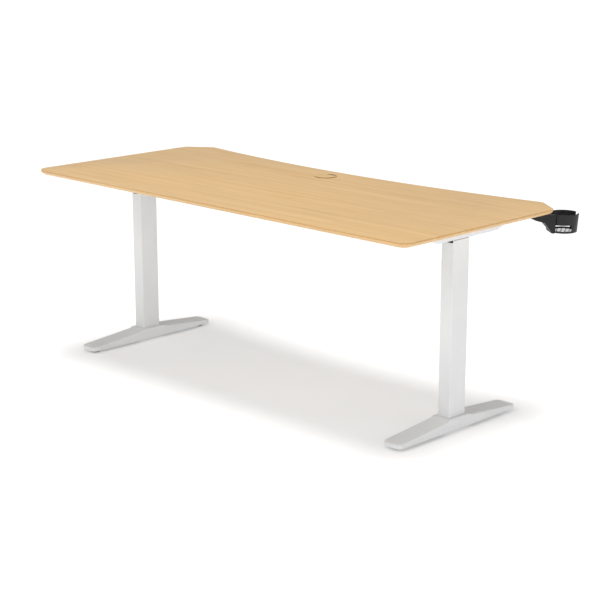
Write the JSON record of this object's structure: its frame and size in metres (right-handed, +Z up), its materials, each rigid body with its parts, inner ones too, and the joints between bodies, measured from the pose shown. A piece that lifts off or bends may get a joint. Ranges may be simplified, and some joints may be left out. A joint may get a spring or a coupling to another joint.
{
  "type": "height adjustable standing desk",
  "caption": "Height adjustable standing desk with a scooped wood top, two lifting columns on wedge feet, control handset and corner cup holder.",
  "frame": {"origin": "on the floor, at the middle of the footprint of the whole desk with its cup holder, fully lowered", "axes": "+X along the desk towards the end with the cup holder, +Y towards the scooped edge where the user sits, +Z up"},
  "size_m": [1.8334, 0.858, 0.7025],
  "materials": {
    "wood_top": "satin lacquered fine grained wood",
    "wood_cap": "satin lacquered fine grained wood",
    "white_paint": "fine textured powder coat",
    "black_plastic": "fine textured moulding",
    "rubber": "matte",
    "bright_steel": "zinc plated",
    "brass": "machined",
    "cast_alloy": "as cast",
    "black_steel": "satin",
    "circuit_board": "solder mask",
    "display": "gloss",
    "button": "satin moulding",
    "cable": "soft satin sheath"
  },
  "bodies": {
    "base": {"left_foot": "white_paint", "left_foot_bolt": "bright_steel", "left_outer_tube": "white_paint", "left_guide_collar": "black_plastic", "left_push_tube": "bright_steel", "left_spindle_nut": "brass", "right_foot": "white_paint", "right_foot_bolt": "bright_steel", "right_outer_tube": "white_paint", "right_guide_collar": "black_plastic", "right_push_tube": "bright_steel", "right_spindle_nut": "brass"},
    "lifting_top": {"left_inner_tube": "white_paint", "left_gearbox": "cast_alloy", "left_motor": "black_steel", "left_side_bracket": "white_paint", "right_inner_tube": "white_paint", "right_gearbox": "cast_alloy", "right_motor": "black_steel", "right_side_bracket": "white_paint", "rear_rail_right_arm": "white_paint", "rear_rail_left_arm": "white_paint", "rear_rail_sleeve": "white_paint", "front_rail_right_arm": "white_paint", "front_rail_left_arm": "white_paint", "front_rail_sleeve": "white_paint", "control_box_tray": "black_plastic", "control_box_lid": "black_plastic", "control_box_circuit_board": "circuit_board", "power_inlet": "black_plastic", "handset_case": "black_plastic", "handset_face_plate": "black_plastic", "handset_display": "display", "handset_circuit_board": "circuit_board", "left_motor_lead": "cable", "right_motor_lead": "cable", "handset_lead": "cable", "lead_clip_1": "black_plastic", "lead_clip_2": "black_plastic", "lead_clip_3": "black_plastic", "lead_clip_4": "black_plastic", "grommet_sleeve": "black_plastic", "cup_holder": "black_plastic", "cup_holder_screw_1": "bright_steel", "cup_holder_screw_2": "bright_steel", "desktop": "wood_top"},
    "left_spindle_body": {"left_spindle": "bright_steel"},
    "right_spindle_body": {"right_spindle": "bright_steel"},
    "grommet_cap_body": {"grommet_cap": "wood_cap"},
    "left_rear_glide_body": {"left_rear_glide": "rubber"},
    "left_front_glide_body": {"left_front_glide": "rubber"},
    "right_rear_glide_body": {"right_rear_glide": "rubber"},
    "right_front_glide_body": {"right_front_glide": "rubber"},
    "button_up_body": {"button_up": "button"},
    "button_down_body": {"button_down": "button"},
    "button_memory_1_body": {"button_memory_1": "button"},
    "button_memory_2_body": {"button_memory_2": "button"},
    "button_memory_3_body": {"button_memory_3": "button"},
    "button_store_body": {"button_store": "button"}
  },
  "joints": [
    {"name": "desk_lift", "type": "slide", "parent": "base", "child": "lifting_top", "axis": [0, 0, 1], "range_m": [0, 0.48]},
    {"name": "left_spindle_turn", "type": "hinge", "parent": "lifting_top", "child": "left_spindle_body", "pos_m": [-0.78068, -0.02898, 0.4], "axis": [0, 0, 1], "range_deg": [0, 10801]},
    {"name": "right_spindle_turn", "type": "hinge", "parent": "lifting_top", "child": "right_spindle_body", "pos_m": [0.74732, -0.02898, 0.4], "axis": [0, 0, 1], "range_deg": [0, 10801]},
    {"name": "button_up_press", "type": "slide", "parent": "lifting_top", "child": "button_up_body", "axis": [0, -0.9397, -0.342], "range_m": [0, 0.0008], "stiffness_N_per_m": 900, "springref_m": -0.0003},
    {"name": "button_down_press", "type": "slide", "parent": "lifting_top", "child": "button_down_body", "axis": [0, -0.9397, -0.342], "range_m": [0, 0.0008], "stiffness_N_per_m": 900, "springref_m": -0.0003},
    {"name": "button_memory_1_press", "type": "slide", "parent": "lifting_top", "child": "button_memory_1_body", "axis": [0, -0.9397, -0.342], "range_m": [0, 0.0008], "stiffness_N_per_m": 900, "springref_m": -0.0003},
    {"name": "button_memory_2_press", "type": "slide", "parent": "lifting_top", "child": "button_memory_2_body", "axis": [0, -0.9397, -0.342], "range_m": [0, 0.0008], "stiffness_N_per_m": 900, "springref_m": -0.0003},
    {"name": "button_memory_3_press", "type": "slide", "parent": "lifting_top", "child": "button_memory_3_body", "axis": [0, -0.9397, -0.342], "range_m": [0, 0.0008], "stiffness_N_per_m": 900, "springref_m": -0.0003},
    {"name": "button_store_press", "type": "slide", "parent": "lifting_top", "child": "button_store_body", "axis": [0, -0.9397, -0.342], "range_m": [0, 0.0008], "stiffness_N_per_m": 900, "springref_m": -0.0003},
    {"name": "grommet_cap_lift_out", "type": "slide", "parent": "lifting_top", "child": "grommet_cap_body", "axis": [0, 0, 1], "range_m": [0, 0.06]},
    {"name": "left_rear_glide_adjust", "type": "slide", "parent": "base", "child": "left_rear_glide_body", "axis": [0, 0, 1], "range_m": [0, 0.0045]},
    {"name": "left_front_glide_adjust", "type": "slide", "parent": "base", "child": "left_front_glide_body", "axis": [0, 0, 1], "range_m": [0, 0.0045]},
    {"name": "right_rear_glide_adjust", "type": "slide", "parent": "base", "child": "right_rear_glide_body", "axis": [0, 0, 1], "range_m": [0, 0.0045]},
    {"name": "right_front_glide_adjust", "type": "slide", "parent": "base", "child": "right_front_glide_body", "axis": [0, 0, 1], "range_m": [0, 0.0045]}
  ],
  "couplings": [
    {"joint": "left_spindle_turn", "follows": "desk_lift", "rad_per_m": 392.7},
    {"joint": "right_spindle_turn", "follows": "desk_lift", "rad_per_m": 392.7}
  ]
}
